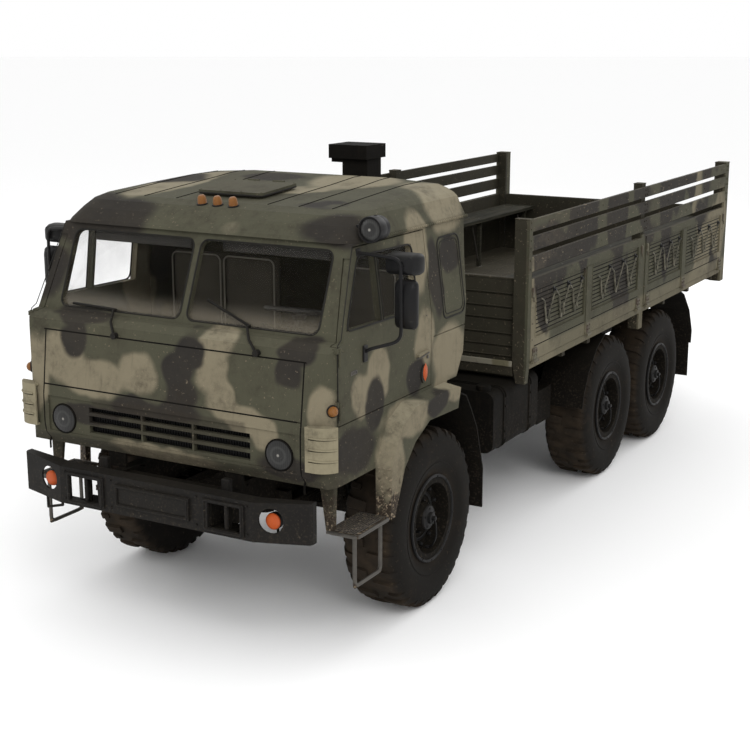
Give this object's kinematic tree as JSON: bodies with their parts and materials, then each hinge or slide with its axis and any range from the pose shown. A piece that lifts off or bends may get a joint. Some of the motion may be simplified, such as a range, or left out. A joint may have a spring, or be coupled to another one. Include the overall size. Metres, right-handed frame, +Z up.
{
  "type": "military cargo truck",
  "caption": "Forward-control cargo truck with sleeper cab, steered front wheels, opening doors, slatted drop-side bed with tailgate and folding benches.",
  "frame": {"origin": "centre of the overall box, on the ground the tyres stand on", "axes": "forward is -Y, the truck's left is +X, up is +Z"},
  "size_m": [2.88, 7.92, 2.978],
  "materials": {
    "camouflage_paint": "matt three-colour camouflage, dusty",
    "black_paint": "matt, dusty",
    "cast_block": "rough",
    "lamp_glass": "grey lamp glass",
    "amber_lens": "amber lens",
    "red_lens": "red lens",
    "window_glass": "dusty",
    "beige_plastic": "matt",
    "dark_plastic": "matt",
    "seat_cloth": "worn cloth",
    "bench_wood": "painted boards",
    "tyre_rubber": "muddy rubber"
  },
  "bodies": {
    "truck": {"frame_rails": "black_paint", "front_bumper": "black_paint", "headlamps": "lamp_glass", "amber_lamps": "amber_lens", "tail_lamps": "red_lens", "cab_front": "camouflage_paint", "cab_rear": "camouflage_paint", "cab_floor": "camouflage_paint", "cab_roof": "camouflage_paint", "windshield": "window_glass", "front_fenders": "camouflage_paint", "mudguards": "black_paint", "cab_steps": "camouflage_paint", "corner_vents": "beige_plastic", "wipers": "black_paint", "seats": "seat_cloth", "dashboard": "dark_plastic", "engine_block": "cast_block", "front_axle": "black_paint", "rear_axles": "black_paint", "leaf_springs": "black_paint", "driveline": "black_paint", "fuel_tanks": "black_paint", "side_boxes": "black_paint", "air_stack": "black_paint", "bed_floor": "camouflage_paint", "bed_front_wall": "camouflage_paint", "bed_racks": "camouflage_paint"},
    "door_left": {"door_left": "camouflage_paint", "door_glass_left": "window_glass", "mirror_left": "black_paint"},
    "door_right": {"door_right": "camouflage_paint", "door_glass_right": "window_glass", "mirror_right": "black_paint"},
    "roof_hatch": {"roof_hatch": "camouflage_paint"},
    "knuckle_left": {"knuckle_left": "black_paint"},
    "knuckle_right": {"knuckle_right": "black_paint"},
    "steering_wheel": {"steering_wheel": "dark_plastic"},
    "wheel_front_left": {"tyre_front_left": "tyre_rubber", "rim_front_left": "black_paint"},
    "wheel_front_right": {"tyre_front_right": "tyre_rubber", "rim_front_right": "black_paint"},
    "wheel_mid_left": {"tyre_mid_left": "tyre_rubber", "rim_mid_left": "black_paint"},
    "wheel_mid_right": {"tyre_mid_right": "tyre_rubber", "rim_mid_right": "black_paint"},
    "wheel_rear_left": {"tyre_rear_left": "tyre_rubber", "rim_rear_left": "black_paint"},
    "wheel_rear_right": {"tyre_rear_right": "tyre_rubber", "rim_rear_right": "black_paint"},
    "side_front_left": {"side_front_left": "camouflage_paint"},
    "side_front_right": {"side_front_right": "camouflage_paint"},
    "side_rear_left": {"side_rear_left": "camouflage_paint"},
    "side_rear_right": {"side_rear_right": "camouflage_paint"},
    "tailgate": {"tailgate": "camouflage_paint"},
    "bench_left": {"bench_left": "bench_wood"},
    "bench_right": {"bench_right": "bench_wood"}
  },
  "joints": [
    {"name": "door_left_swing", "type": "hinge", "parent": "truck", "child": "door_left", "pos_m": [1.176, -3.65, 1.76], "axis": [0, 0, -1], "range_deg": [0, 70]},
    {"name": "door_right_swing", "type": "hinge", "parent": "truck", "child": "door_right", "pos_m": [-1.176, -3.65, 1.76], "axis": [0, 0, 1], "range_deg": [0, 70]},
    {"name": "roof_hatch_lift", "type": "hinge", "parent": "truck", "child": "roof_hatch", "pos_m": [-0.055, -2.5405, 2.7702], "axis": [-1, 0, 0], "range_deg": [0, 80]},
    {"name": "steer_left", "type": "hinge", "parent": "truck", "child": "knuckle_left", "pos_m": [0.93, -2.5, 0.61], "axis": [0, 0, 1], "range_deg": [-28, 28]},
    {"name": "steer_right", "type": "hinge", "parent": "truck", "child": "knuckle_right", "pos_m": [-0.93, -2.5, 0.61], "axis": [0, 0, 1], "range_deg": [-28, 28]},
    {"name": "steering_wheel_turn", "type": "hinge", "parent": "truck", "child": "steering_wheel", "pos_m": [0.63, -3.215, 2.085], "axis": [0, 0.2, 0.9798], "range_deg": [-560, 560]},
    {"name": "wheel_front_left_spin", "type": "hinge", "parent": "knuckle_left", "child": "wheel_front_left", "pos_m": [1.025, -2.5, 0.61], "axis": [1, 0, 0], "continuous": true},
    {"name": "wheel_front_right_spin", "type": "hinge", "parent": "knuckle_right", "child": "wheel_front_right", "pos_m": [-1.025, -2.5, 0.61], "axis": [1, 0, 0], "continuous": true},
    {"name": "wheel_mid_left_spin", "type": "hinge", "parent": "truck", "child": "wheel_mid_left", "pos_m": [1.025, 0.84, 0.61], "axis": [1, 0, 0], "continuous": true},
    {"name": "wheel_mid_right_spin", "type": "hinge", "parent": "truck", "child": "wheel_mid_right", "pos_m": [-1.025, 0.84, 0.61], "axis": [1, 0, 0], "continuous": true},
    {"name": "wheel_rear_left_spin", "type": "hinge", "parent": "truck", "child": "wheel_rear_left", "pos_m": [1.025, 2.16, 0.61], "axis": [1, 0, 0], "continuous": true},
    {"name": "wheel_rear_right_spin", "type": "hinge", "parent": "truck", "child": "wheel_rear_right", "pos_m": [-1.025, 2.16, 0.61], "axis": [1, 0, 0], "continuous": true},
    {"name": "side_front_left_drop", "type": "hinge", "parent": "truck", "child": "side_front_left", "pos_m": [1.289, 0.109, 1.394], "axis": [0, 1, 0], "range_deg": [0, 180]},
    {"name": "side_front_right_drop", "type": "hinge", "parent": "truck", "child": "side_front_right", "pos_m": [-1.289, 0.109, 1.394], "axis": [0, -1, 0], "range_deg": [0, 180]},
    {"name": "side_rear_left_drop", "type": "hinge", "parent": "truck", "child": "side_rear_left", "pos_m": [1.289, 2.645, 1.394], "axis": [0, 1, 0], "range_deg": [0, 180]},
    {"name": "side_rear_right_drop", "type": "hinge", "parent": "truck", "child": "side_rear_right", "pos_m": [-1.289, 2.645, 1.394], "axis": [0, -1, 0], "range_deg": [0, 180]},
    {"name": "tailgate_drop", "type": "hinge", "parent": "truck", "child": "tailgate", "pos_m": [0, 3.905, 1.394], "axis": [-1, 0, 0], "range_deg": [0, 180]},
    {"name": "bench_left_fold", "type": "hinge", "parent": "truck", "child": "bench_left", "pos_m": [1.14, 1.39, 1.893], "axis": [0, 1, 0], "range_deg": [0, 90]},
    {"name": "bench_right_fold", "type": "hinge", "parent": "truck", "child": "bench_right", "pos_m": [-1.14, 1.39, 1.893], "axis": [0, -1, 0], "range_deg": [0, 90]}
  ],
  "couplings": [
    {"joint": "steer_right", "follows": "steer_left", "ratio": 1},
    {"joint": "steering_wheel_turn", "follows": "steer_left", "ratio": 20}
  ]
}
